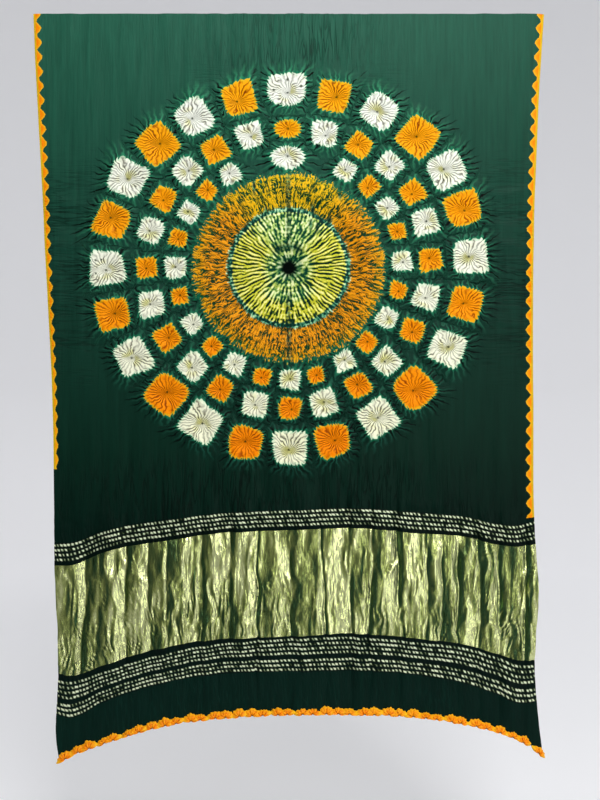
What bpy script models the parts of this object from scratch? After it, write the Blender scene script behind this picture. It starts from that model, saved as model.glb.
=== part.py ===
"""Bandhani cloth: one tie-dyed silk length that hangs by its top edge.

The origin is the middle of the top edge, +Z is up and the front faces -Y. The tables are in millimetres: x runs
across from the middle of the top edge, drop runs down from it, and a height stands out of the cloth to the front.
"""

import math
from collections import namedtuple

import bpy
import numpy as np
from mathutils.geometry import delaunay_2d_cdt

MM = 0.001

# Driving dimensions
THICKNESS = 2.0
FORWARD_LEAN = 25.0  # how far the hem stands forward of the top edge
PLAIN_SPACING = 52.0  # between points on the plain ground
FINE_SPACING, FOOT_SPACING = 5.0, 10.0  # the closest that two points of a form, or of its foot, may lie

MANDALA_X, MANDALA_DROP = 0.0, 557.0
MANDALA_FLATTENING = 0.98  # the rings are a little wider than tall
RING_PLACES = 24

SQUARE_CROWN, SQUARE_PINCH = 6.0, -5.0  # heights of a tied square's rim and of its tied centre
SQUARE_PLEAT, SQUARE_PLEATS = 1.6, 8  # puckers that run out from the tied centre
SQUARE_HALFWAY = 0.55  # where the puckers are deepest, in half sides
SQUARE_FOOT = 1.3  # where the pucker round a square has died away, in half sides
ROUND_CORNER = 0.9  # a corner's reach against a sharp one's
SIDE_WANDER, TURN_WANDER = 0.05, math.radians(5)

SCALLOP_PITCH, SCALLOP_DEPTH = 31.5, 15.0
LEFT_SCALLOPS_END, RIGHT_SCALLOPS_END = 1000.0, 1104.0
EDGE_SPACING = 40.0  # between points of the side edges under the scallops

PUFF_PITCH, PUFF_DEPTH, PUFF_CROWN = 27.5, 20.0, 7.0
PUFF_WANDER = 2.5
PUFF_TIP, PUFF_NOTCH = 4.0, 3.0  # how far a puff's end hangs below the hem line, and a notch rises above it

Edge = namedtuple("Edge", "drop x")
LEFT_EDGE = [
    Edge(0, -560),
    Edge(168, -553),
    Edge(299, -545),
    Edge(518, -534),
    Edge(846, -516),
    Edge(1164, -509),
    Edge(1280, -506),
    Edge(1400, -499),
    Edge(1496, -501),
    Edge(1571, -503),
    Edge(1631, -495),
]
RIGHT_EDGE = [
    Edge(0, 560),
    Edge(135, 551),
    Edge(299, 543),
    Edge(518, 536),
    Edge(846, 534),
    Edge(1130, 535),
    Edge(1265, 543),
    Edge(1422, 533),
    Edge(1539, 541),
    Edge(1610, 549),
]

# The cloth's weft lines as they hang, arched up in the middle
Weft = namedtuple("Weft", "x upper_stripes band_top band_foot lower_stripes end_band hem")
WEFT_LINES = [
    Weft(-508, 1162, 1204, 1436, 1454, 1519, 1634),
    Weft(-471, 1160, 1204, 1443, 1459, 1528, 1611),
    Weft(-399, 1134, 1176, 1419, 1436, 1494, 1584),
    Weft(-268, 1111, 1152, 1381, 1398, 1454, 1546),
    Weft(-155, 1097, 1136, 1365, 1378, 1435, 1530),
    Weft(3, 1089, 1129, 1358, 1366, 1430, 1522),
    Weft(163, 1086, 1125, 1352, 1363, 1428, 1522),
    Weft(273, 1094, 1135, 1362, 1373, 1436, 1527),
    Weft(386, 1104, 1144, 1377, 1387, 1456, 1544),
    Weft(459, 1120, 1161, 1398, 1409, 1481, 1562),
    Weft(498, 1122, 1164, 1409, 1423, 1496, 1578),
    Weft(549, 1108, 1156, 1407, 1420, 1492, 1612),
]

# Rings of tied squares. Orange squares stand on the even or the odd places, counted clockwise from the top.
Ring = namedtuple("Ring", "radius white_side orange_side orange_parity left_out")
RINGS = [
    Ring(396, 80, 78, 1, ()),
    Ring(309, 62, 58, 0, ()),
    Ring(245, 50, 44, 1, (1, 23)),
]
Flattened = namedtuple("Flattened", "ring width height")
FLATTENED_AT_TOP = [Flattened(0, 79, 66), Flattened(1, 53, 44), Flattened(2, 74, 52)]

# The medallion's rings of ties, from its centre out. Between puckers the cloth stands on the crests.
Tie = namedtuple("Tie", "radius height pleat pleats")
MEDALLION_TIES = [
    Tie(14, -3, 0, 8),
    Tie(40, 3, 1, 12),
    Tie(84, 5, 2, 24),
    Tie(125, 1, 2, 32),
    Tie(136, -2, 0, 32),
    Tie(172, 5, 2, 36),
    Tie(210, 2, 2, 40),
    Tie(222, -1, 0, 40),
]

MEDALLION_CENTRE_DIP = -6.0
MEDALLION_PLEATS = 21  # waves round the medallion, between its ties
PLEAT_SWIRL = 0.02  # radians a pleat turns for each millimetre outwards

# Creases of the metallic band, ridges and troughs from left to right
Fold = namedtuple("Fold", "x_top x_foot height")
BAND_FOLDS = [
    Fold(-516, -508, 0),
    Fold(-492, -501, 4),
    Fold(-444, -453, -5),
    Fold(-411, -416, -1),
    Fold(-387, -387, 5),
    Fold(-354, -354, -4),
    Fold(-330, -330, 2),
    Fold(-306, -304, -2),
    Fold(-275, -273, 3),
    Fold(-265, -264, 1),
    Fold(-232, -230, 5),
    Fold(-214, -225, -2),
    Fold(-188, -188, -4),
    Fold(-170, -175, 3),
    Fold(-153, -153, -2),
    Fold(-127, -131, -3),
    Fold(-109, -116, 4),
    Fold(-75, -79, 1),
    Fold(-67, -69, -5),
    Fold(-59, -60, 2),
    Fold(3, 3, -5),
    Fold(29, 29, 5),
    Fold(60, 65, 2),
    Fold(69, 79, -4),
    Fold(80, 91, 3),
    Fold(130, 138, -4),
    Fold(143, 152, 3),
    Fold(169, 166, 1),
    Fold(180, 176, -3),
    Fold(193, 189, 4),
    Fold(235, 244, -4),
    Fold(248, 256, 3),
    Fold(304, 294, 1),
    Fold(316, 311, 4),
    Fold(334, 329, -1),
    Fold(346, 343, 2),
    Fold(369, 364, -4),
    Fold(384, 386, 1),
    Fold(412, 414, -5),
    Fold(425, 427, 2),
    Fold(458, 456, -4),
    Fold(480, 478, 5),
    Fold(502, 498, 1),
    Fold(517, 511, -4),
    Fold(535, 523, 3),
    Fold(550, 546, 0),
]
FOLD_DEPTH = 1.5  # the heights above are grown by this
# How much of those folds is left above and below the band: from the plain ground down to the hem
FOLD_FADE_ABOVE = 120.0
FOLD_AT_END_BAND, FOLD_AT_HEM = 0.5, 0.35

# Main creases of the ground: pulled lines between the rings and the selvedges, and crinkles over and under the rings
Crease = namedtuple("Crease", "x_from drop_from x_to drop_to height")
CREASES = [
    Crease(-525, 405, -425, 432, 3),
    Crease(-520, 460, -430, 474, -3),
    Crease(-520, 512, -440, 505, 3),
    Crease(-515, 640, -430, 622, 2),
    Crease(440, 400, 525, 388, 3),
    Crease(435, 450, 528, 440, -3),
    Crease(440, 500, 525, 512, 3),
    Crease(432, 660, 520, 690, 2),
    Crease(-140, 30, -150, 128, 3),
    Crease(-78, 25, -72, 110, -3),
    Crease(-18, 22, -26, 100, 3),
    Crease(74, 35, 80, 120, 2),
    Crease(-118, 985, -126, 1078, 3),
    Crease(-58, 985, -56, 1072, -3),
    Crease(12, 990, 6, 1070, 3),
    Crease(66, 985, 72, 1070, -2),
    Crease(128, 975, 136, 1072, 3),
    Crease(235, 1070, 350, 1076, 2),
]
CREASE_HALF_WIDTH = 16.0

Dye = namedtuple("Dye", "name colour roughness metallic")
DYES = [
    Dye("green_satin", (0.012, 0.07, 0.045), 0.45, 0.0),
    Dye("undyed_silk", (0.82, 0.82, 0.78), 0.5, 0.0),
    Dye("orange_silk", (0.83, 0.27, 0.01), 0.5, 0.0),
    Dye("yellow_silk", (0.72, 0.66, 0.1), 0.5, 0.0),
    Dye("zari_tissue", (0.42, 0.46, 0.14), 0.35, 0.8),
]
GREEN, UNDYED, ORANGE, YELLOW, TISSUE = range(len(DYES))
YELLOW_RADIUS, ORANGE_FROM, ORANGE_TO = 125.0, 136.0, 210.0

Square = namedtuple("Square", "x drop half_width half_height turn dye")


def column(table, name):
    return np.array([getattr(row, name) for row in table], float)


def curve_at(knots, values, at):
    """A smooth curve through the table's points: cubic, with the mean slope at each."""
    slopes = np.gradient(values, knots)
    at = np.clip(at, knots[0], knots[-1])
    i = np.clip(np.searchsorted(knots, at) - 1, 0, len(knots) - 2)
    step = knots[i + 1] - knots[i]
    t = (at - knots[i]) / step
    start = (1 + 2 * t) * (1 - t) ** 2 * values[i] + t * (1 - t) ** 2 * step * slopes[i]
    return start + t * t * (3 - 2 * t) * values[i + 1] - t * t * (1 - t) * step * slopes[i + 1]


def weft(name, x):
    return curve_at(column(WEFT_LINES, "x"), column(WEFT_LINES, name), x)


def edge_x(edge, drop):
    return curve_at(column(edge, "drop"), column(edge, "x"), drop)


def eased(value):
    value = np.clip(value, 0.0, 1.0)
    return value * value * (3 - 2 * value)


def tied_squares():
    """Every tied square of the rings, each turned to the centre, with the small unevenness of work by hand."""
    squares = []
    for number, ring in enumerate(RINGS):
        for place in range(RING_PLACES):
            if place in ring.left_out:
                continue
            angle = math.tau * place / RING_PLACES
            orange = place % 2 == ring.orange_parity
            side = ring.orange_side if orange else ring.white_side
            wander = math.sin(5.1 * place + 2.3 * number)
            width = height = side * (1 + SIDE_WANDER * wander)
            if place == 0:
                width, height = FLATTENED_AT_TOP[number].width, FLATTENED_AT_TOP[number].height
            squares.append(
                Square(
                    MANDALA_X + ring.radius * math.sin(angle),
                    MANDALA_DROP - ring.radius * MANDALA_FLATTENING * math.cos(angle),
                    width / 2,
                    height / 2,
                    angle + TURN_WANDER * math.sin(3.7 * place + number) * (place > 0),
                    ORANGE if orange else UNDYED,
                )
            )
    return squares


def square_reach(square, x, drop):
    """0 at the square's tied centre and 1 on its outline, and the direction from the centre."""
    across = (x - square.x) * math.cos(square.turn) + (drop - square.drop) * math.sin(square.turn)
    along = (drop - square.drop) * math.cos(square.turn) - (x - square.x) * math.sin(square.turn)
    a, b = across / square.half_width, along / square.half_height
    reach = np.maximum(np.maximum(np.abs(a), np.abs(b)), (np.abs(a) + np.abs(b)) / (2 * ROUND_CORNER))
    return reach, np.arctan2(b, a)


def round_square(square, reach, count, start):
    """Points round a square at one reach, the first at start of a step from its side's middle."""
    points = []
    for number in range(count):
        angle = math.tau * (number + start) / count
        a, b = math.cos(angle), math.sin(angle)
        grow = reach / max(abs(a), abs(b), (abs(a) + abs(b)) / (2 * ROUND_CORNER))
        across, along = a * grow * square.half_width, b * grow * square.half_height
        points.append(
            (
                square.x + across * math.cos(square.turn) - along * math.sin(square.turn),
                square.drop + across * math.sin(square.turn) + along * math.cos(square.turn),
            )
        )
    return points


def square_outline(square):
    """The puckers' crests, which stand on the outline."""
    return round_square(square, 1.0, SQUARE_PLEATS, 0.0)


def square_points(squares):
    """The tied centres, and the dips between puckers."""
    dips = [point for square in squares for point in round_square(square, SQUARE_HALFWAY, SQUARE_PLEATS, 0.5)]
    return [(square.x, square.drop) for square in squares] + dips


def foot_points(squares):
    return [point for square in squares for point in round_square(square, SQUARE_FOOT, 4, 0.5)]


def square_relief(squares, x, drop):
    """Each square is a small cushion: pinched at its tied centre, proud at its rim, level past its foot."""
    height = np.zeros_like(x)
    for square in squares:
        reach, angle = square_reach(square, x, drop)
        size = math.sqrt(square.half_height / 40)
        cushion = SQUARE_PINCH + (SQUARE_CROWN - SQUARE_PINCH) * eased(reach / 0.8)
        cushion += SQUARE_PLEAT * np.cos(SQUARE_PLEATS * angle) * eased(reach / SQUARE_HALFWAY)
        foot = 1 - eased((reach - 1) / (SQUARE_FOOT - 1))
        height += np.where(reach < SQUARE_FOOT, size * cushion * foot, 0.0)
    return height


def medallion_polar(x, drop):
    across, down = x - MANDALA_X, (drop - MANDALA_DROP) / MANDALA_FLATTENING
    return np.hypot(across, down), np.arctan2(across, -down)


def medallion_circles():
    """One closed chain of points for each ring of ties."""
    circles = []
    for number, tie in enumerate(MEDALLION_TIES):
        angles = [math.tau * (place + 0.5 * (number % 2)) / tie.pleats for place in range(tie.pleats)]
        circles.append(
            [
                (
                    MANDALA_X + tie.radius * math.sin(angle),
                    MANDALA_DROP - tie.radius * MANDALA_FLATTENING * math.cos(angle),
                )
                for angle in angles
            ]
        )
    return circles


def medallion_relief(x, drop):
    """Rings of ties leave rings of crests and dips, crossed by pleats that run out from the centre."""
    radius, angle = medallion_polar(x, drop)
    radii = np.concatenate([[0.0], column(MEDALLION_TIES, "radius")])
    heights = np.concatenate([[MEDALLION_CENTRE_DIP], column(MEDALLION_TIES, "height")])
    crest = curve_at(radii, heights, radius)
    pleat = np.interp(radius, radii, np.concatenate([[0.0], column(MEDALLION_TIES, "pleat")]))
    inside = radius < radii[-1]
    return np.where(inside, crest + pleat * np.sin(MEDALLION_PLEATS * angle + PLEAT_SWIRL * radius), 0.0)


def band_share(x, drop):
    """0 at the band's top and 1 at its foot, and on past both."""
    top, foot = weft("band_top", x), weft("band_foot", x)
    return (drop - top) / (foot - top)


def band_relief(x, drop):
    """The band's creases, which fade into the ground above and run on, softer, to the hem."""
    share = np.clip(band_share(x, drop), 0.0, 1.0)
    height = np.zeros_like(x)
    tops, feet = column(BAND_FOLDS, "x_top"), column(BAND_FOLDS, "x_foot")
    heights = column(BAND_FOLDS, "height") * FOLD_DEPTH
    for i, (at, part) in enumerate(zip(x, share)):
        height[i] = np.interp(at, tops + (feet - tops) * part, heights)
    fade = 1 - eased((weft("band_top", x) - drop) / FOLD_FADE_ABOVE)
    below = np.interp(
        (drop - weft("band_foot", x)) / (weft("hem", x) - weft("band_foot", x)),
        [0.0, 0.55, 1.0],
        [1.0, FOLD_AT_END_BAND, FOLD_AT_HEM],
    )
    return height * fade * below


def fold_places(share):
    """A point on each of the band's creases, at this share of the way from the band's top to its foot."""
    points = []
    for fold in BAND_FOLDS[1:-1]:
        x = fold.x_top + (fold.x_foot - fold.x_top) * min(max(share, 0.0), 1.0)
        top, foot = float(weft("band_top", x)), float(weft("band_foot", x))
        points.append((x, top + (foot - top) * share))
    return points


def band_border(name, share):
    """The band's top or foot from edge to edge, as a chain that starts and ends on the cloth's outline."""
    ends = [(edge, float(weft(name, edge_middle(edge)))) for edge in (LEFT_EDGE, RIGHT_EDGE)]
    (left, right) = [(float(edge_x(edge, drop)), drop) for edge, drop in ends]
    return [left, *fold_places(share), right]


def band_points():
    """Points on the creases over and down the band, and on the ground under the lower stripes."""
    points = [point for share in (-0.17, 0.33, 0.67) for point in fold_places(share)]
    return points + [(float(x), float(weft("end_band", x))) for x in np.arange(-480.0, 540.0, 30.0)]


def crease_reach(crease, x, drop):
    """The distance from the crease's line, and its height there, which dies away at both ends."""
    along = np.array([crease.x_to - crease.x_from, crease.drop_to - crease.drop_from], float)
    length = np.hypot(*along)
    along /= length
    from_start = (x - crease.x_from) * along[0] + (drop - crease.drop_from) * along[1]
    aside = (drop - crease.drop_from) * along[0] - (x - crease.x_from) * along[1]
    share = np.clip(from_start / length, 0.0, 1.0)
    return np.abs(aside), crease.height * np.sin(math.pi * share) ** 0.5


def crease_relief(x, drop):
    height = np.zeros_like(x)
    for crease in CREASES:
        aside, crest = crease_reach(crease, x, drop)
        height += crest * (1 - eased(aside / CREASE_HALF_WIDTH))
    return height


def crease_points():
    points = []
    for crease in CREASES:
        step = np.array([crease.x_to - crease.x_from, crease.drop_to - crease.drop_from], float)
        side = np.array([-step[1], step[0]]) / np.hypot(*step) * CREASE_HALF_WIDTH
        start = np.array([crease.x_from, crease.drop_from], float)
        points += [tuple(start + step * share) for share in (0.0, 0.3, 0.7, 1.0)]
        points += [tuple(start + step * 0.5 + side * way) for way in (-1, 1)]
    return points


def hem_places():
    """The x of each tied puff's middle, evenly along the hem."""
    first, last = LEFT_EDGE[-1].x, RIGHT_EDGE[-1].x
    count = round((last - first) / PUFF_PITCH)
    even = [first + (last - first) * (number + 0.5) / count for number in range(count)]
    return [x + PUFF_WANDER * math.sin(2.7 * number) for number, x in enumerate(even)]


def puff_points():
    points = []
    for x in hem_places():
        hem = float(weft("hem", x))
        points.append((x, hem - PUFF_DEPTH * 0.45))
        points.append((x, hem - PUFF_DEPTH))
        points.append((x + PUFF_PITCH / 2, hem - PUFF_DEPTH * 0.5))
    return points[:-1]


def puff_relief(x, drop):
    """Each puff is a small dome on the hem, level again in the notches between."""
    height = np.zeros_like(x)
    for middle in hem_places():
        across = (x - middle) / (PUFF_PITCH / 2)
        up = (weft("hem", x) - drop) / PUFF_DEPTH
        dome = np.clip(1 - across**2, 0.0, 1.0) * np.clip(np.sin(math.pi * np.clip(up + 0.15, 0, 1.0)), 0, 1)
        height += PUFF_CROWN * dome
    return height


def edge_middle(edge):
    return edge[len(edge) // 2].x


def scallop_drops(end):
    """The notches between the scallops, down one side."""
    return np.arange(SCALLOP_PITCH, end, SCALLOP_PITCH)


def side_points(edge, end):
    """One side edge from the top down: a point at each notch, then evenly to the corner, and at each weft line."""
    lines = [float(weft(name, edge_middle(edge))) for name in ("band_top", "band_foot", "end_band")]
    even = [drop for drop in np.arange(end + EDGE_SPACING / 2, edge[-1].drop - EDGE_SPACING, EDGE_SPACING)]
    even = [drop for drop in even if min(abs(drop - line) for line in lines) > EDGE_SPACING / 3]
    drops = sorted(list(scallop_drops(end)) + even + lines)
    return [(float(edge_x(edge, drop)), float(drop)) for drop in drops]


def outline():
    """The cloth's edge, once round: along the top, down the right, back along the puffs and up the left."""
    points = [(x, 0.0) for x in np.linspace(LEFT_EDGE[0].x, RIGHT_EDGE[0].x, 27)]
    points += side_points(RIGHT_EDGE, RIGHT_SCALLOPS_END)
    hem = [(float(RIGHT_EDGE[-1].x), float(RIGHT_EDGE[-1].drop))]
    for x in reversed(hem_places()):
        hem.append((x, float(weft("hem", x)) + PUFF_TIP))
        notch = x - PUFF_PITCH / 2
        hem.append((notch, float(weft("hem", notch)) - PUFF_NOTCH))
    hem[-1] = (float(LEFT_EDGE[-1].x), float(LEFT_EDGE[-1].drop))
    points += hem
    return points + side_points(LEFT_EDGE, LEFT_SCALLOPS_END)[::-1]


def scallop_points():
    """The inner tips of the scallops, halfway between the points of the edge."""
    points = []
    for edge, inwards, end in ((LEFT_EDGE, 1, LEFT_SCALLOPS_END), (RIGHT_EDGE, -1, RIGHT_SCALLOPS_END)):
        for drop in scallop_drops(end) - SCALLOP_PITCH / 2:
            points.append((float(edge_x(edge, drop)) + inwards * SCALLOP_DEPTH, drop))
    return points


def plain_points():
    """An even lattice over the ground, well inside the edge."""
    points = []
    inset = 35.0
    for row, drop in enumerate(np.arange(PLAIN_SPACING / 2, 1600.0, PLAIN_SPACING * 0.87)):
        for x in np.arange(-560.0 + PLAIN_SPACING / 2 * (row % 2), 560.0, PLAIN_SPACING):
            inside = edge_x(LEFT_EDGE, drop) + inset < x < edge_x(RIGHT_EDGE, drop) - inset
            if inside and drop < weft("hem", x) - inset:
                points.append((x, drop))
    return points


def clear_of(points, kept, distance):
    """The points that lie at least this far from every kept one, and from each other."""
    kept = list(kept)
    fresh = []
    for point in points:
        gaps = np.hypot(*(np.array(kept) - point).T)
        if gaps.min() >= distance:
            kept.append(point)
            fresh.append(point)
    return fresh


def dye_of(squares, x, drop):
    """Which dye each place on the cloth has."""
    dye = np.full(len(x), GREEN)
    for square in squares:
        dye[square_reach(square, x, drop)[0] < 1] = square.dye
    radius, _ = medallion_polar(x, drop)
    dye[radius < YELLOW_RADIUS] = YELLOW
    dye[(radius > ORANGE_FROM) & (radius < ORANGE_TO)] = ORANGE
    share = band_share(x, drop)
    dye[(share > 0) & (share < 1)] = TISSUE
    dye[drop > weft("hem", x) - PUFF_DEPTH * 0.8] = ORANGE
    for edge, inwards, end in ((LEFT_EDGE, 1, LEFT_SCALLOPS_END), (RIGHT_EDGE, -1, RIGHT_SCALLOPS_END)):
        along = (drop / SCALLOP_PITCH) % 1.0
        reach = SCALLOP_DEPTH * (1 - np.abs(2 * along - 1))
        dye[(inwards * (x - edge_x(edge, drop)) < reach) & (drop < end)] = ORANGE
    return dye


def dyed_material(dye):
    material = bpy.data.materials.new(dye.name)
    material.use_nodes = True
    shader = material.node_tree.nodes["Principled BSDF"]
    shader.inputs["Base Color"].default_value = (*dye.colour, 1.0)
    shader.inputs["Roughness"].default_value = dye.roughness
    shader.inputs["Metallic"].default_value = dye.metallic
    return material


def joined(chains):
    """The points of all chains, and an edge between each two neighbours. An outline or a ring closes on itself."""
    points, edges = [], []
    for chain, closed in chains:
        places = []
        for point in chain:
            if point not in points:
                points.append(point)
            places.append(points.index(point))
        edges += list(zip(places, places[1:]))
        if closed:
            edges.append((places[-1], places[0]))
    return points, edges


def build_cloth():
    squares = tied_squares()
    chains = [(outline(), True)]
    chains += [(square_outline(square), True) for square in squares]
    chains += [(circle, True) for circle in medallion_circles()]
    chains += [(band_border("band_top", 0.0), False), (band_border("band_foot", 1.0), False)]
    points, edges = joined(chains)
    groups = [
        ([(MANDALA_X, MANDALA_DROP)], FINE_SPACING),
        (square_points(squares), FINE_SPACING),
        (puff_points(), FINE_SPACING),
        (scallop_points(), FINE_SPACING),
        (band_points(), FINE_SPACING),
        (foot_points(squares), FOOT_SPACING),
        (crease_points(), FOOT_SPACING),
        (plain_points(), PLAIN_SPACING * 0.55),
    ]
    for group, spacing in groups:
        points += clear_of(group, points, spacing)

    flat, _, triangles, *_ = delaunay_2d_cdt(points, edges, [], 1, 1e-4)
    x, drop = np.array([tuple(point) for point in flat]).T
    height = square_relief(squares, x, drop) + medallion_relief(x, drop) + band_relief(x, drop)
    height += crease_relief(x, drop) + puff_relief(x, drop)
    height += FORWARD_LEAN * (drop / LEFT_EDGE[-1].drop) ** 2

    front = np.column_stack([x, -height, -drop])
    back = front + np.array([0.0, THICKNESS, 0.0])
    count = len(front)
    faces = []
    for a, b, c in triangles:
        turns = (x[b] - x[a]) * (drop[c] - drop[a]) - (x[c] - x[a]) * (drop[b] - drop[a])
        a, b, c = (a, b, c) if turns < 0 else (a, c, b)
        faces += [(a, b, c), (a + count, c + count, b + count)]
    sides = {(face[i], face[(i + 1) % 3]) for face in faces[::2] for i in range(3)}
    faces += [(b, a, a + count, b + count) for a, b in sorted(sides) if (b, a) not in sides]

    mesh = bpy.data.meshes.new("cloth")
    mesh.from_pydata(np.concatenate([front, back]) * MM, [], faces)
    for dye in DYES:
        mesh.materials.append(dyed_material(dye))
    middles = np.array([np.mean([(x[i % count], drop[i % count]) for i in face], axis=0) for face in faces])
    mesh.polygons.foreach_set("material_index", dye_of(squares, *middles.T))
    mesh.shade_smooth()
    mesh.set_sharp_from_angle(angle=math.radians(60))
    cloth = bpy.data.objects.new("cloth", mesh)
    bpy.context.scene.collection.objects.link(cloth)
    return cloth


for old in list(bpy.data.objects):
    bpy.data.objects.remove(old, do_unlink=True)
build_cloth()
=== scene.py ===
import math
from functools import partial

import bpy
import numpy as np
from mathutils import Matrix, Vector
from mathutils.geometry import delaunay_2d_cdt


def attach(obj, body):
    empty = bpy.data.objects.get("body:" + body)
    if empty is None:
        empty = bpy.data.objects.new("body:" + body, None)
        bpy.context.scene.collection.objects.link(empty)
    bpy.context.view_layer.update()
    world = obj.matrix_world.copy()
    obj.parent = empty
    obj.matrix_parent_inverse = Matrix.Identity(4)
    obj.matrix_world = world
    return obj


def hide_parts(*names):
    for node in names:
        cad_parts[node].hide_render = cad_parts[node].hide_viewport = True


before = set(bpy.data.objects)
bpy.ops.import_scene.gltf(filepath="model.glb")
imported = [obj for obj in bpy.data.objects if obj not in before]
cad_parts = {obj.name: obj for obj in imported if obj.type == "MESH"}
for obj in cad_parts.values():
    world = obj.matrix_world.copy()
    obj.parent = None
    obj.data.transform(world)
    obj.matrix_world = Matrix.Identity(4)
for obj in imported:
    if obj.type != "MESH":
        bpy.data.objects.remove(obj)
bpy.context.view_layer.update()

# The cloth is laid out in mm: x runs across from the middle of its top edge, drop runs down from it,
# and height stands out to the front. Numpy works the same rules for every point at once.
mm = 0.001
fullTurn = 2 * math.pi


def eased(value):
    value = np.clip(value, 0.0, 1.0)
    return value * value * (3 - 2 * value)


def between(value, start, end):  # 0 at start, 1 at end, soft at both
    return eased((value - start) / (end - start))


def curveAt(knots, values, at):  # smooth curve through the points, with the mean slope at each
    slopes = np.gradient(values, knots)
    at = np.clip(at, knots[0], knots[-1])
    i = np.clip(np.searchsorted(knots, at) - 1, 0, len(knots) - 2)
    step = knots[i + 1] - knots[i]
    t = (at - knots[i]) / step
    start = (1 + 2 * t) * (1 - t) ** 2 * values[i] + t * (1 - t) ** 2 * step * slopes[i]
    return start + t * t * (3 - 2 * t) * values[i + 1] - t * t * (1 - t) * step * slopes[i + 1]


def noiseAt(u, v, seed, around=509):  # soft noise from -1 to 1, which closes after this many cells of u
    table = np.random.default_rng(seed).uniform(-1, 1, (around, 127))
    i, j = np.floor(u).astype(int), np.floor(v).astype(int)
    s, t = eased(u - i), eased(v - j)
    near = table[i % around, j % 127] * (1 - s) + table[(i + 1) % around, j % 127] * s
    far = table[i % around, (j + 1) % 127] * (1 - s) + table[(i + 1) % around, (j + 1) % 127] * s
    return near * (1 - t) + far * t


# How the cloth hangs
hang = {
    "forwardLean": 25,
    "leftEdge": [
        (0, -560), (168, -553), (299, -545), (518, -534), (846, -516), (1164, -509),
        (1280, -506), (1400, -499), (1496, -501), (1571, -503), (1631, -495),
    ],
    "rightEdge": [
        (0, 560), (135, 551), (299, 543), (518, 536), (846, 534), (1130, 535),
        (1265, 543), (1422, 533), (1539, 541), (1610, 549),
    ],
    "weftNames": ["x", "upperRows", "bandTop", "bandFoot", "lowerRows", "endBand", "hem"],
    "weftLines": [
        (-508, 1162, 1204, 1436, 1454, 1519, 1634),
        (-471, 1160, 1204, 1443, 1459, 1528, 1611),
        (-399, 1134, 1176, 1419, 1436, 1494, 1584),
        (-268, 1111, 1152, 1381, 1398, 1454, 1546),
        (-155, 1097, 1136, 1365, 1378, 1435, 1530),
        (3, 1089, 1129, 1358, 1366, 1430, 1522),
        (163, 1086, 1125, 1352, 1363, 1428, 1522),
        (273, 1094, 1135, 1362, 1373, 1436, 1527),
        (386, 1104, 1144, 1377, 1387, 1456, 1544),
        (459, 1120, 1161, 1398, 1409, 1481, 1562),
        (498, 1122, 1164, 1409, 1423, 1496, 1578),
        (549, 1108, 1156, 1407, 1420, 1492, 1612),
    ],
}
hemDrop = hang["leftEdge"][-1][0]


def weftDrop(name, x):
    rows = np.array(hang["weftLines"], float)
    return curveAt(rows[:, 0], rows[:, hang["weftNames"].index(name)], x)


def weftShare(first, last, x, drop):  # 0 on the first weft line, 1 on the last
    start = weftDrop(first, x)
    return (drop - start) / (weftDrop(last, x) - start)


def sideX(side, drop):
    rows = np.array(hang[side], float)
    return curveAt(rows[:, 0], rows[:, 1], drop)


# The rings of tied squares
mandala = {
    "drop": 557,
    "flattening": 0.98,
    "places": 24,
    # how far each place stands outwards of the even ring, in percent, and how far it is turned, in degrees
    "outwards": [0, 0, 1, 2, 2.5, 1.5, 0, -1, -2, -3.5, -2.5, 0, 1, 1, -1, -2, -1, 0, 0, 1, 1.5, 0, -0.5, -1],
    "turned": [-0.5, -0.5, -0.5, -1, -2, -4, -3.5, -3, -2.5, -0.5, 0, 1, -0.5, -1.5, -1, -1.5, -0.5, 0, 0,
               0.5, -0.5, -1, -1.5, -1],
    "rings": [
        # atTop: width, height, and how square the top half and the bottom half of that one are
        {"radius": 397, "white": 76, "orange": 71, "orangeOn": 1, "leftOut": (),
         "atTop": (83, 70, 7.0, 2.3)},
        {"radius": 310, "white": 55.5, "orange": 47, "orangeOn": 0, "leftOut": (),
         "atTop": (56, 41, 2.4, 2.2)},
        {"radius": 247, "white": 43.5, "orange": 35.5, "orangeOn": 1, "leftOut": (1, 23),
         "atTop": (76, 51, 1.9, 1.9)},
    ],
    "sideWander": 0.035,
    "turnWander": math.radians(6),
    "tieWander": 0.15,
    "roundCorner": 0.9,
    "crown": 3.4,
    "pinch": -4.0,
    "foot": 1.6,
    "outlineWander": 0.07,
    "skew": 0.1,
    "puckerHeight": 1.5,
    "creasePitch": 9.5,
    "creaseStretch": 1.35,  # above 1, more creases run across the cloth than down it
    # dark marks that the tying thread left: x, drop and radius
    "stitches": [
        (-3, 145, 3.0), (27, 160, 3.2), (-33, 168, 2.8), (-18, 198, 1.6), (3, 198, 1.6),
        (-422, 541, 2.2), (-409, 539, 1.8), (-421, 570, 2.2), (-418, 584, 1.9), (-419, 556, 1.4),
    ],
}


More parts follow.
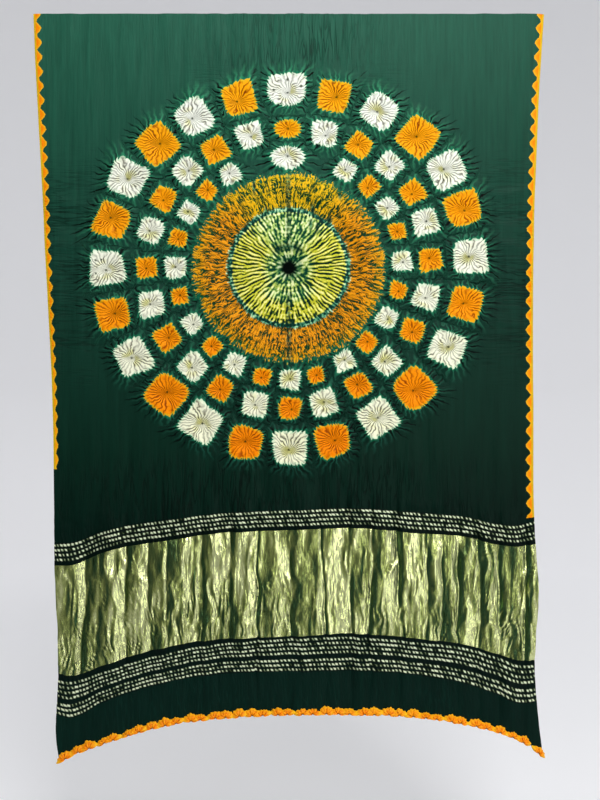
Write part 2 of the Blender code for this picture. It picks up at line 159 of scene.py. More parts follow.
def tiedSquares():
    squares = []
    for number, ring in enumerate(mandala["rings"]):
        for place in range(mandala["places"]):
            if place in ring["leftOut"]:
                continue
            angle = fullTurn * place / mandala["places"] + math.radians(mandala["turned"][place])
            radius = ring["radius"] * (1 + mandala["outwards"][place] / 100)
            orange = place % 2 == ring["orangeOn"]
            side = ring["orange"] if orange else ring["white"]
            side *= 1 + mandala["sideWander"] * math.sin(5.1 * place + 2.3 * number)
            side *= 1 + 0.05 * (place in (6, 18) and not orange)
            side *= 0.97 + 0.12 * orange * math.sin(2 * angle) ** 2  # cloth gives most on the bias
            width, height, *powers = ring["atTop"] if place == 0 else (side, side)
            seed = 100 + 30 * number + place
            tie = np.random.default_rng(seed + 400).uniform(-1, 1, 2) * mandala["tieWander"]
            x = radius * math.sin(angle)
            drop = mandala["drop"] - radius * mandala["flattening"] * math.cos(angle)
            squares.append({
                "x": x,
                "drop": drop,
                "halfWidth": width / 2,
                "halfHeight": height / 2,
                "tieX": x + tie[0] * width / 2,
                "tieDrop": drop + tie[1] * height / 2,
                "turn": angle + mandala["turnWander"] * math.sin(3.7 * place + number) * (place > 0),
                "powers": powers,
                "orange": orange,
                "seed": seed,
            })
    return squares


def outlineReach(square, a, b):  # 1 on the outline, for places as shares of the half width and half height
    if square["powers"]:
        power = np.where(b < 0, *square["powers"])
        return (np.abs(a) ** power + np.abs(b) ** power) ** (1 / power)
    corner = mandala["roundCorner"] + 0.06 * math.sin(9.1 * square["seed"])
    flat = np.maximum(np.maximum(abs(a), abs(b)), (abs(a) + abs(b)) / (2 * corner))
    return 0.6 * flat + 0.4 * (np.abs(a) ** 4 + np.abs(b) ** 4) ** 0.25


def squareReach(square, x, drop):  # 0 at the middle, 1 on the outline; and the way round
    across = (x - square["x"]) * math.cos(square["turn"]) + (drop - square["drop"]) * math.sin(square["turn"])
    along = (drop - square["drop"]) * math.cos(square["turn"]) - (x - square["x"]) * math.sin(square["turn"])
    a, b = across / square["halfWidth"], along / square["halfHeight"]
    skewA, skewB = np.random.default_rng(square["seed"]).uniform(-1, 1, 2) * mandala["skew"]
    if not square["powers"]:
        a, b = a * (1 + skewA * np.clip(b, -1.5, 1.5)), b * (1 + skewB * np.clip(a, -1.5, 1.5))
    angle = np.arctan2(b, a)
    wander = noiseAt((angle / fullTurn + 1) * 9, np.zeros_like(angle), square["seed"], 9)
    return outlineReach(square, a, b) * (1 + mandala["outlineWander"] * wander), angle


def squarePucker(square, reach, angle):  # 0 in a crease, up to 1 on the puff between two creases
    turn = angle / fullTurn + 1
    bent = turn + 0.012 * noiseAt(turn * 5, reach * 4, square["seed"] + 7, 5)
    wide = abs(noiseAt(bent * 13, reach * 1.3, square["seed"] + 1, 13))
    fine = abs(noiseAt(bent * 26, reach * 2.6, square["seed"] + 2, 26))
    return np.clip(1.5 * wide, 0, 1) * 0.6 + np.clip(1.6 * fine, 0, 1) * 0.4


# The medallion: pleats that run out from the centre, as far apart everywhere, so they branch as they go
medallion = {
    "ties": [
        # radius, height
        (0, -6), (14, -3), (40, 3), (84, 5), (125, 1), (136, -2), (172, 5), (210, 2), (222, -1), (232, 0),
    ],
    "pleatRings": [(0, 16), (26, 28), (44, 40), (64, 60), (96, 96), (132, 132), (172, 172), (999, 0)],
    "strands": 190,  # fine strands round the orange ring
    "pleatHeight": 1.0,
    "reach": 226,
    "gaps": [(-98, 366, 7, 16), (-76, 378, 4, 22), (76, 352, 4, 20), (106, 372, 5, 12), (112, 400, 5, 9),
             (-50, 434, 5, 13), (52, 430, 5, 15), (48, 462, 5, 13), (62, 470, 4, 12), (88, 452, 8, 9)],
}


def medallionPlace(x, drop):
    down = (drop - mandala["drop"]) / mandala["flattening"]
    return np.hypot(x, down), np.arctan2(x, -down)


def medallionStreak(x, drop):  # -1 in a pleat's trough, 1 on its crest
    radius, angle = medallionPlace(x, drop)
    turn = angle / fullTurn + 1
    beside = np.abs(np.sin(angle)) ** 1.5  # 1 at the left and right, 0 at the top and bottom
    calm = beside * (1 - between(radius, 112, 136)) * between(radius, 38, 60)
    bend = 2.4 * noiseAt(x / 32, drop / 32, 41) + 1.5 * noiseAt(x / 13, drop / 13, 42)
    fine = 1.3 * noiseAt(x / 9, drop / 9, 47) * between(radius, 118, 140)
    bend += 0.7 * noiseAt(x / 6, drop / 6, 46) + fine
    length = 6.5 + 4 * beside * between(radius, 60, 90) + 12 * calm
    streak, torn = np.zeros_like(x), np.zeros_like(x)
    for number, (start, count) in enumerate(medallion["pleatRings"][:-1]):
        end = medallion["pleatRings"][number + 1][0]
        share = between(radius, start - 5, start + 5) * (1 - between(radius, end - 5, end + 5))
        streak += share * np.sin(count * angle + bend + 1.7 * number)
        cells = round(count * 1.9)
        torn += share * noiseAt(turn * cells, radius / length, 300 + number, cells)
    rings = np.sin(fullTurn * radius / 10 + 2.5 * noiseAt(turn * 80, radius / 30, 43, 80))
    mixed = streak * (0.42 + 0.5 * calm) + torn * (1.25 - 0.75 * calm) + 0.45 * rings * (1 - beside) ** 1.5
    return np.clip(mixed, -1, 1)


def medallionWashed(x, drop):  # where the yellow is washed out to pale green
    radius, angle = medallionPlace(x, drop)
    top = (1 - between(np.abs(angle), 0.4, 1.0)) * between(radius, 40, 58)
    foot = (1 - between(np.pi - np.abs(angle), 0.5, 1.1)) * between(radius, 40, 58)
    foot = foot * (1 - between(radius, 68, 88))
    centre = between(radius, 14, 22) * (1 - between(radius, 40, 64)) * 0.9
    return np.clip(np.maximum(np.maximum(top, foot), centre), 0, 1)


def medallionOverdye(x, drop):  # where the green reached in under the ties
    radius, angle = medallionPlace(x, drop)
    across = np.abs(x + 2 * noiseAt(drop / 20, drop * 0, 45))
    line = (1 - between(across, 2.5, 8)) * between(radius, 52, 60) * (1 - between(radius, 205, 222))
    line *= 0.65 + 0.35 * np.sin(fullTurn * radius / 9)
    arc = np.exp(-((radius - 47) / 8) ** 2) * (1 - between(np.abs(angle), 0.45, 0.85))
    overdye = np.maximum(line, arc)
    for gapX, gapDrop, halfWidth, halfHeight in medallion["gaps"]:
        spot = np.exp(-(((x - gapX) / halfWidth) ** 2 + ((drop - gapDrop) / halfHeight) ** 2) ** 2)
        overdye = np.maximum(overdye, spot)
    return overdye


# The metallic band and the ground's creases
band = {
    # x at the band's top, x at its foot, height
    "folds": [
        (-516, -508, 0), (-492, -501, 4), (-444, -453, -5), (-411, -416, -1), (-387, -387, 5),
        (-354, -354, -4), (-330, -330, 2), (-306, -304, -2), (-275, -273, 3), (-265, -264, 1),
        (-232, -230, 5), (-214, -225, -2), (-188, -188, -4), (-170, -175, 3), (-153, -153, -2),
        (-127, -131, -3), (-109, -116, 4), (-75, -79, 1), (-67, -69, -5), (-59, -60, 2), (3, 3, -5),
        (29, 29, 5), (60, 65, 2), (69, 79, -4), (80, 91, 3), (130, 138, -4), (143, 152, 3),
        (169, 166, 1), (180, 176, -3), (193, 189, 4), (235, 244, -4), (248, 256, 3), (304, 294, 1),
        (316, 311, 4), (334, 329, -1), (346, 343, 2), (369, 364, -4), (384, 386, 1), (412, 414, -5),
        (425, 427, 2), (458, 456, -4), (480, 478, 5), (502, 498, 1), (517, 511, -4), (535, 523, 3),
        (550, 546, 0),
    ],
    "foldDepth": 1.1,
    "creaseSharp": 2.6,
    "fadeAbove": 120,
    "leftBelow": [(0.0, 1.0), (0.55, 0.5), (1.0, 0.35)],  # from the band's foot to the hem
    "wander": 4.0,
    "crumple": 2.2,
    # x and drop at both ends, height
    "creases": [
        (-112, 1312, -36, 1301, -6), (-112, 1304, -40, 1294, 5), (236, 1190, 203, 1224, -7),
        (243, 1196, 212, 1228, 5), (537, 1186, 500, 1310, -8), (528, 1180, 492, 1300, 6),
        (-240, 1300, -205, 1352, 5), (-330, 1250, -300, 1240, 4), (96, 1290, 128, 1340, 5),
        (330, 1300, 352, 1352, -5), (440, 1290, 462, 1385, 5), (-20, 1240, 16, 1300, 5),
        (-470, 1250, -455, 1390, 5), (-372, 1190, -362, 1290, 4), (-196, 1180, -204, 1260, -4),
        (60, 1240, 44, 1330, -4), (268, 1230, 262, 1350, 4), (402, 1180, 396, 1290, 4),
        (-92, 1330, -84, 1358, 4), (150, 1150, 158, 1230, 4),
    ],
    "creaseHalfWidth": 4.5,
}
creases = {
    # x and drop at both ends, height
    "lines": [
        (-525, 405, -425, 432, 3), (-520, 460, -430, 474, -3), (-520, 512, -440, 505, 3),
        (-515, 640, -430, 622, 2), (440, 400, 525, 388, 3), (435, 450, 528, 440, -3),
        (440, 500, 525, 512, 3), (432, 660, 520, 690, 2), (-140, 30, -150, 128, 3),
        (-78, 25, -72, 110, -3), (-18, 22, -26, 100, 3), (74, 35, 80, 120, 2),
        (-118, 985, -126, 1078, 3), (-58, 985, -56, 1072, -3), (12, 990, 6, 1070, 3),
        (66, 985, 72, 1070, -2), (128, 975, 136, 1072, 3), (235, 1070, 350, 1076, 2),
    ],
    "halfWidth": 16,
}
rows = {
    "upperLines": [0, 9.6, 19.2, 28.8],
    "upperSpan": 40.0,  # from the first line to the band
    "lowerLines": [0, 9.6, 19.2, 28.8, 44.0, 53.6, 63.2],
    "lowerSpan": 63.2,
    "crinklePitch": 8.4,
    "crinkleSlant": 0.2,  # how far a crinkle moves right for each mm down
    "crinkleHeight": 0.7,
}


def bandShare(x, drop):  # 0 at the band's top, 1 at its foot
    return weftShare("bandTop", "bandFoot", x, drop)


def bandFolds(x, drop):
    share = np.clip(bandShare(x, drop), 0.0, 1.0)
    x = x + band["wander"] * noiseAt(x / 60 + 9, drop / 55, 51) * eased(share * 4)
    x = x + 1.7 * noiseAt(x / 18, drop / 26, 57) * eased(share * 4)
    folds = np.array(band["folds"], float)
    lines = folds[:, 0] + (folds[:, 1] - folds[:, 0]) * share[:, None]
    k = np.clip((lines <= x[:, None]).sum(axis=1) - 1, 0, len(folds) - 2)
    left = np.take_along_axis(lines, k[:, None], 1)[:, 0]
    right = np.take_along_axis(lines, k[:, None] + 1, 1)[:, 0]
    t = np.clip((x - left) / (right - left), 0, 1)
    falling = folds[k, 2] > folds[k + 1, 2]
    t = np.where(falling, t ** band["creaseSharp"], 1 - (1 - t) ** band["creaseSharp"])
    swell = 1 + 1.1 * noiseAt(x / 34, drop / 60, 58)
    return (folds[k, 2] * (1 - t) + folds[k + 1, 2] * t) * band["foldDepth"] * swell


def belowBand(x, drop):  # 0 at the band's foot, 1 at the hem
    return weftShare("bandFoot", "hem", x, drop)


def bandRelief(x, drop):
    share = bandShare(x, drop)
    inside = between(share, -0.05, 0.04) * (1 - between(share, 0.97, 1.05))
    ridge = 1 - 2 * np.abs(noiseAt(x / 15 + 0.8 * noiseAt(x / 40, drop / 50, 52), drop / 75, 53))
    fine = 1 - 2 * np.abs(noiseAt(x / 7.5 + 0.9 * noiseAt(x / 20, drop / 24, 56), drop / 32, 54))
    dents = noiseAt(x / 16, drop / 12, 55)
    patchy = 0.5 + 0.5 * noiseAt(x / 55, drop / 60, 59)
    crumple = ridge * (0.35 + 0.75 * patchy) + 0.3 * dents
    crumple = crumple + fine * (0.25 + 0.85 * np.clip(share, 0, 1) ** 1.5) * (0.5 + 0.8 * patchy)
    fade = 1 - eased((weftDrop("bandTop", x) - drop) / band["fadeAbove"])
    left = np.interp(belowBand(x, drop), *np.array(band["leftBelow"]).T)
    return bandFolds(x, drop) * fade * left + band["crumple"] * crumple * inside


def crinkleTurns(x, drop):  # how many of the lower cloth's fine upright crinkles lie to the left
    bend = 2.6 * noiseAt(x / 40, drop / 60, 61) + 0.9 * noiseAt(x / 14, drop / 12, 62)
    slanting = rows["crinkleSlant"] * (1 + noiseAt(x / 300, x * 0, 64))
    down = drop - np.where(drop < 1250, 1110, 1420)  # from the middle of the rows over and under the band
    return (x - slanting * down + bend) / rows["crinklePitch"]


def crinkleAt(x, drop):  # -1 in a crinkle's trough, 1 on its crest
    return np.sin(fullTurn * crinkleTurns(x, drop))


def creaseRelief(x, drop, lines, halfWidth):
    height = np.zeros_like(x)
    for x0, drop0, x1, drop1, crest in lines:
        length = math.hypot(x1 - x0, drop1 - drop0)
        wayX, wayDrop = (x1 - x0) / length, (drop1 - drop0) / length
        share = np.clip(((x - x0) * wayX + (drop - drop0) * wayDrop) / length, 0, 1)
        aside = (drop - drop0) * wayX - (x - x0) * wayDrop + 3 * noiseAt(share * 5, share * 0, 63)
        height += crest * np.sin(math.pi * share) ** 0.5 * (1 - eased(np.abs(aside) / halfWidth))
    return height


def groundRelief(x, drop):
    soft = noiseAt(x / 27 + 0.4 * noiseAt(x / 60, drop / 90, 71), drop / 190, 72)
    fine = 1 - 2 * np.abs(noiseAt(x / 9, drop / 60, 73))
    middle = np.exp(-((x / 190) ** 4))
    overRings = (1 - between(drop, 90, 150)) * middle
    share = bandShare(x, drop)
    underRings = between(drop, 960, 1000) * (1 - between(share, -0.1, 0.0)) * (0.5 + 0.5 * middle)
    lower = between(drop, 1060, 1130) * (1 - between(share, -0.05, 0.02))
    lower += between(share, 0.98, 1.03) * (1 - 0.6 * between(belowBand(x, drop), 0.5, 0.6))
    height = soft * (1.3 + between(drop, 850, 1000)) + 0.8 * fine * (0.2 + overRings + underRings)
    return height + rows["crinkleHeight"] * crinkleAt(x, drop) * lower


def crushedShare(x, drop):  # where fine upright creases show, 0 to 1
    above = (1 - between(drop, 95, 160)) * (0.15 + 0.85 * np.exp(-((x / 170) ** 4)))
    below = between(drop, 940, 1010) * (0.35 + 0.65 * np.exp(-((x / 400) ** 4)))
    return np.clip(np.maximum(above, below) * (0.75 + 0.5 * noiseAt(x / 50, drop / 60, 75)), 0, 1)


def pulledShare(x, drop):  # where creases run across to the selvedges
    beside = between(np.abs(x), 395, 440) * np.exp(-(((drop - 560) / 230) ** 4))
    top = np.exp(-(((np.abs(x) - 150) / 90) ** 2)) * np.exp(-(((drop - 150) / 50) ** 2)) * 0.6
    return np.clip((beside + top) * (0.7 + 0.6 * noiseAt(x / 60, drop / 40, 76)), 0, 1)


def edgeCurl(x, drop):  # the selvedges turn a little to the back
    gap = np.minimum(x - sideX("leftEdge", drop), sideX("rightEdge", drop) - x)
    return -3.0 * np.exp(-gap / 9) * (0.6 + 0.4 * noiseAt(drop / 50, drop * 0, 74))


# Where the points of the sheet go: closest where the forms are finest
spacing = {
    "ground": 7.8,
    "outline": 5.0,
    "medallionAlong": 1.75,
    "medallionOut": 3.9,
    "band": (2.5, 7.0),
    "rows": (2.8, 5.0),
    "squareOut": [0.0, 0.12, 0.26, 0.4, 0.55, 0.7, 0.83, 0.95, 1.07, 1.2, 1.35],
    "squareAlong": 4.4,
    "closest": 1.2,
}


def medallionPoints():
    points = [np.array([[0.0, mandala["drop"]]])]
    for radius in np.arange(4.0, medallion["reach"], spacing["medallionOut"]):
        count = max(14, round(fullTurn * radius / spacing["medallionAlong"]))
        angle = np.linspace(0, fullTurn, count, endpoint=False) + 0.37 * radius
        drop = mandala["drop"] - mandala["flattening"] * radius * np.cos(angle)
        points.append(np.column_stack([radius * np.sin(angle), drop]))
    return np.concatenate(points)


def squarePoints(squares):
    points = []
    for number, square in enumerate(squares):
        for reach in spacing["squareOut"]:
            count = max(1, round(6.6 * square["halfWidth"] * reach / spacing["squareAlong"]))
            angle = np.linspace(0, fullTurn, count, endpoint=False) + 0.7 * reach
            a, b = np.cos(angle), np.sin(angle)
            grow = reach / outlineReach(square, a, b)
            across, along = a * grow * square["halfWidth"], b * grow * square["halfHeight"]
            x = square["x"] + across * math.cos(square["turn"]) - along * math.sin(square["turn"])
            drop = square["drop"] + across * math.sin(square["turn"]) + along * math.cos(square["turn"])
            keep = medallionPlace(x, drop)[0] > medallion["reach"] + 3
            for other in squares:
                near = math.hypot(other["x"] - square["x"], other["drop"] - square["drop"]) < 150
                if near and other is not square and reach > 1:
                    keep &= squareReach(other, x, drop)[0] > reach
            points.append(np.column_stack([x, drop])[keep])
    return np.concatenate(points)


def linePoints(name, offset, step):  # along a weft line, from selvedge to selvedge
    x = np.arange(-520.0, 560.0, step)
    drop = weftDrop(name, x) + offset
    inside = (x > sideX("leftEdge", drop) + 1.2) & (x < sideX("rightEdge", drop) - 1.2)
    return np.column_stack([x, drop])[inside]


def staggered(first, step, number):  # x of one line of points, with every second line half a step on
    return np.arange(first, 560.0, step) + step / 2 * (number % 2)


def bandPoints():
    across, down = spacing["band"]
    count = round(232 / down)
    top, foot = linePoints("bandTop", 0, across), linePoints("bandFoot", 0, across)
    points = []
    for number in range(1, count):
        x = staggered(-520.0, across, number)
        drop = weftDrop("bandTop", x) * (1 - number / count) + weftDrop("bandFoot", x) * number / count
        points.append(np.column_stack([x, drop]))
    return top, foot, np.concatenate(points)


def rowPoints():
    across, down = spacing["rows"]
    points = []
    for number in range(round(70 / down)):
        x = staggered(-520.0, across, number)
        points.append(np.column_stack([x, weftDrop("bandTop", x) - 4 - number * down]))
    for share in np.arange(0.02, 0.985, down / 170):
        x = staggered(-520.0, across, round(share * 170 / down))
        drop = weftDrop("bandFoot", x) * (1 - share) + weftDrop("hem", x) * share
        points.append(np.column_stack([x, drop]))
    return np.concatenate(points)


def groundPoints(squares):
    points = []
    step = spacing["ground"]
    for number, drop in enumerate(np.arange(step / 2, 1140, step * 0.866)):
        x = staggered(-560.0, step, number)
        points.append(np.column_stack([x, np.full_like(x, drop)]))
    points = np.concatenate(points)
    x, drop = points.T
    keep = (medallionPlace(x, drop)[0] > medallion["reach"] + 2) & (drop < weftDrop("bandTop", x) - 72)
    for square in squares:
        keep &= squareReach(square, x, drop)[0] > spacing["squareOut"][-1] + 0.08
    return points[keep]


def outlinePoints():
    step = spacing["outline"]
    left, right = hang["leftEdge"], hang["rightEdge"]
    top = [(x, 0.0) for x in np.arange(left[0][1], right[0][1], step)]
    down = np.arange(0.0, right[-1][0], step)
    up = np.arange(left[-1][0], 0.0, -step)
    hemX = np.arange(right[-1][1], left[-1][1], -step)
    hem = [(x, float(weftDrop("hem", x)) - 2) for x in hemX]
    hem[0] = (right[-1][1], right[-1][0])
    sides = [(float(sideX("rightEdge", drop)), drop) for drop in down]
    back = [(float(sideX("leftEdge", drop)), drop) for drop in up]
    return np.array(top + sides + hem + back)


def thinned(points, kept, gap):  # drops each point that lies too close to one already kept
    taken = {}
    for x, drop in kept:
        taken.setdefault((int(x // gap), int(drop // gap)), []).append((x, drop))
    fresh = []
    for x, drop in points:
        i, j = int(x // gap), int(drop // gap)
        near = (q for di in (-1, 0, 1) for dj in (-1, 0, 1) for q in taken.get((i + di, j + dj), ()))
        if all((x - q[0]) ** 2 + (drop - q[1]) ** 2 >= gap * gap for q in near):
            taken.setdefault((i, j), []).append((x, drop))
            fresh.append((x, drop))
    return fresh


def sheetTriangles(squares):
    outline = outlinePoints()
    top, foot, inBand = bandPoints()
    chains = [outline, top, foot]
    edges, start = [], 0
    for number, chain in enumerate(chains):
        places = list(range(start, start + len(chain)))
        edges += list(zip(places, places[1:]))
        if number == 0:
            edges.append((places[-1], places[0]))
        start += len(chain)
    fixed = np.concatenate(chains)
    loose = [medallionPoints(), squarePoints(squares), inBand, rowPoints(), groundPoints(squares)]
    loose = np.concatenate(loose)
    x, drop = loose.T
    inside = (x > sideX("leftEdge", drop) + 2) & (x < sideX("rightEdge", drop) - 2) & (drop > 2)
    inside &= drop < weftDrop("hem", x) - 4
    points = [tuple(p) for p in fixed] + thinned(loose[inside], fixed, spacing["closest"])
    flat, _, triangles, *_ = delaunay_2d_cdt([Vector(p) for p in points], edges, [], 1, 1e-4)
    flat = np.array([tuple(p) for p in flat])
    triangles = np.array(triangles)
    a, b, c = (flat[triangles[:, k]] for k in range(3))
    turns = (b[:, 0] - a[:, 0]) * (c[:, 1] - a[:, 1]) - (c[:, 0] - a[:, 0]) * (b[:, 1] - a[:, 1])
    triangles[turns > 0] = triangles[turns > 0][:, ::-1]
    return flat, triangles


def setField(mesh, name, values):
    kind = "FLOAT_VECTOR" if values.ndim == 2 else "FLOAT"
    layer = mesh.attributes.new(name, kind, "POINT")
    layer.data.foreach_set("vector" if values.ndim == 2 else "value", values.astype(np.float32).ravel())


def meshFrom(name, points, faces, fields):
    mesh = bpy.data.meshes.new(name)
    mesh.from_pydata(points, [], faces)
    for field, values in fields.items():
        setField(mesh, field, np.asarray(values))
    mesh.shade_smooth()
    piece = bpy.data.objects.new(name, mesh)
    bpy.context.scene.collection.objects.link(piece)
    return piece


def scallopField(x, drop):  # mm inside the dyed border of half rounds along both selvedges
    pitch, depth = 31.5, 15.0
    field = np.full_like(x, -99.0)
    for side, inwards, end, narrow in (("leftEdge", 1, 1000, 0.55), ("rightEdge", -1, 1104, 0.0)):
        gap = inwards * (x - sideX(side, drop))
        bulge = (0.5 + 0.5 * np.cos(fullTurn * drop / pitch)) ** 0.85
        reach = 5.5 + (depth - 3.5) * bulge * (1 - narrow * between(drop, 200, end))
        field = np.maximum(field, np.where(drop < end, reach - gap, -99.0))
    return field


def makeCloth():
    squares = tiedSquares()
    flat, triangles = sheetTriangles(squares)
    x, drop = flat.T
    height = hang["forwardLean"] * (drop / hemDrop) ** 2
    reach = np.full_like(x, 9.0)
    orange = np.zeros_like(x)
    gap = np.full_like(x, 60.0)
    fromTie = np.ones((len(x), 3))  # across, down, and the creases to a radian
    for square in squares:
        near = np.hypot(x - square["x"], drop - square["drop"]) < 110
        own, angle = squareReach(square, x[near], drop[near])
        size = math.sqrt(square["halfHeight"] / 40)
        pucker = squarePucker(square, own, angle)
        cushion = mandala["pinch"] + (mandala["crown"] - mandala["pinch"]) * eased(own / 0.8)
        cushion += mandala["puckerHeight"] * (pucker - 0.5) * eased(own / 0.4)
        foot = 1 - eased((own - 1) / (mandala["foot"] - 1))
        height[near] += np.where(own < mandala["foot"], size * cushion * foot, 0.0)
        closest = own < reach[near]
        picked = np.flatnonzero(near)[closest]
        reach[picked] = own[closest]
        orange[picked] = float(square["orange"])
        half = min(square["halfWidth"], square["halfHeight"])
        gap[picked] = (own[closest] - 1) * half
        creaseCount = 2 * round(fullTurn * half / mandala["creasePitch"] / 2)
        fromTie[picked, 0] = x[picked] - square["tieX"]
        fromTie[picked, 1] = drop[picked] - square["tieDrop"]
        fromTie[picked, 2] = creaseCount / fullTurn
    radius, _ = medallionPlace(x, drop)
    streak = medallionStreak(x, drop)
    ties = np.array(medallion["ties"], float)
    inside = 1 - between(radius, medallion["reach"] - 12, medallion["reach"])
    height += np.where(radius < ties[-1, 0], curveAt(ties[:, 0], ties[:, 1], radius), 0)
    height += medallion["pleatHeight"] * streak * inside * between(radius, 8, 20)
    height += bandRelief(x, drop) + groundRelief(x, drop) * between(radius, 215, 240)
    height += creaseRelief(x, drop, creases["lines"], creases["halfWidth"])
    height += creaseRelief(x, drop, band["creases"], band["creaseHalfWidth"])
    height += edgeCurl(x, drop)
    crinkle = crinkleAt(x, drop)
    upperRow = weftShare("upperRows", "bandTop", x, drop) * rows["upperSpan"]
    lowerRow = weftShare("lowerRows", "endBand", x, drop) * rows["lowerSpan"]
    fields = {
        "squareGap": gap,
        "orangeSquare": orange,
        "fromTie": fromTie,
        "ringRadius": np.clip(radius, 0, 400),
        "streak": streak,
        "overdye": medallionOverdye(x, drop),
        "upperRow": upperRow + 0.8 * crinkle,
        "lowerRow": lowerRow + 0.8 * crinkle,
        "crinkleTurns": crinkleTurns(x, drop),
        "scallop": scallopField(x, drop),
        "selvedge": np.minimum(x - sideX("leftEdge", drop), sideX("rightEdge", drop) - x),
        # which way the band's folds face, for the painted light on the metallic tissue
        "bandFacing": np.clip((bandRelief(x - 1.5, drop) - bandRelief(x + 1.5, drop)) / 3, -1, 1),
        "bandDown": np.clip(bandShare(x, drop), 0, 1),
        "crush": crushedShare(x, drop),
        "pull": pulledShare(x, drop),
        "washed": medallionWashed(x, drop),
    }
    points = np.column_stack([x, -height, -drop]) * mm
    cloth = meshFrom("clothSheet", points.tolist(), triangles.tolist(), fields)
    middles = flat[triangles].mean(axis=1)
    share = bandShare(*middles.T)
    upper = (middles[:, 1] > weftDrop("upperRows", middles[:, 0]) - 5) & (share < 0)
    lower = (middles[:, 1] < weftDrop("endBand", middles[:, 0]) + 5) & (share > 1)
    kinds = np.where((share > 0) & (share < 1), 1, np.where(upper | lower, 2, 0))
    for material in (gajjiSilk(), zariTissue(), zariRows()):
        cloth.data.materials.append(material)
    cloth.data.polygons.foreach_set("material_index", kinds.astype(np.int32))
    print("cloth sheet:", len(points), "points,", len(triangles), "triangles")
    return cloth


# The tied puffs along the hem
puffs = {
    "pitch": 27.0,
    "height": 14.0,
    "crown": 7.0,
    "peaked": 1.5,  # 1 gives a triangle, 2 a half round
    "spread": math.radians(108),
    "pleats": 11,
    "across": 34,
    "out": 9,
    # how the puffs differ: shares of the pitch, height and crown, then radians, then shares of the height
    "widths": (0.68, 0.86),
    "heights": (0.75, 1.15),
    "crowns": (0.8, 1.15),
    "tilts": (-0.14, 0.14),
    "leans": (-0.35, 0.35),
}


def makePuffs():
    rng = np.random.default_rng(7)
    first, last = hang["leftEdge"][-1][1], hang["rightEdge"][-1][1]
    count = round((last - first) / puffs["pitch"])
    points, faces, rim, tip, pleat = [], [], [], [], []
    for number in range(count):
        x = first + (last - first) * (number + 0.5) / count + 3.5 * math.sin(2.7 * number)
        hem = float(weftDrop("hem", x))
        slope = float(weftDrop("hem", x + 3) - weftDrop("hem", x - 3)) / 6
        tilt = math.atan(slope) + rng.uniform(*puffs["tilts"])
        halfWidth = puffs["pitch"] * rng.uniform(*puffs["widths"])
        tall = puffs["height"] * rng.uniform(*puffs["heights"])
        crown = puffs["crown"] * rng.uniform(*puffs["crowns"])
        phase = rng.uniform(0, fullTurn)
        lean = rng.uniform(*puffs["leans"])
        paler = rng.uniform(0, 0.35) * (0.4 + 0.6 * float(between(x, 40, 160) * (1 - between(x, 260, 330))))
        base = hang["forwardLean"] * (hem / hemDrop) ** 2
        start = len(points)
        for i in range(puffs["across"] + 1):
            angle = puffs["spread"] * (2 * i / puffs["across"] - 1)
            wave = math.sin(puffs["pleats"] * angle + phase + 1.2 * math.sin(2 * angle + phase))
            wave = 0.7 * wave + 0.5 * math.sin(5.3 * angle + 2.1 * phase)
            below = max(0.0, abs(angle) - math.pi / 2)
            sideways, upwards = abs(math.sin(angle)) / halfWidth, abs(math.cos(angle)) / tall
            long = (sideways ** puffs["peaked"] + upwards ** puffs["peaked"]) ** (-1 / puffs["peaked"])
            long *= (1 + 0.09 * wave) * (1 - 1.2 * below)
            for j in range(puffs["out"] + 1):
                t = j / puffs["out"]
                across = long * t * math.sin(angle) + lean * tall * t * (1 - t)
                up = long * t * math.cos(angle) - 2.0
                dome = math.sin(math.pi * min(1.0, 0.12 + 0.88 * t) ** 0.85) ** 0.75 if t < 1 else 0.0
                out = crown * dome * (1 + 0.16 * wave * math.sin(math.pi * t) ** 0.5) + 0.6
                px = x + across * math.cos(tilt) + up * math.sin(tilt)
                pd = hem + across * math.sin(tilt) - up * math.cos(tilt)
                points.append((px * mm, -(base + out) * mm, -pd * mm))
                side = float(between(abs(angle), 1.0, 1.5) * between(t, 0.45, 0.8))
                rim.append(min(1.0, paler + side + 0.55 * float(between(t, 0.7, 1.0))))
                tip.append(max(0.0, 1 - t * long / 4.2))
                pleat.append(wave * math.sin(math.pi * t) ** 0.5)
        line = puffs["out"] + 1
        for i in range(puffs["across"]):
            for j in range(puffs["out"]):
                a = start + i * line + j
                faces.append((a, a + line, a + line + 1, a + 1))
    piece = meshFrom("hemPuffs", points, faces, {"rim": rim, "tip": tip, "pleat": pleat})
    piece.data.materials.append(tiedSilk())
    print("hem puffs:", count)
    return piece


def linear(hexColour):  # sRGB hex to the linear colour that Blender works in
    parts = [int(hexColour[i:i + 2], 16) / 255 for i in (1, 3, 5)]
    return [c / 12.92 if c <= 0.04045 else ((c + 0.055) / 1.055) ** 2.4 for c in parts] + [1.0]


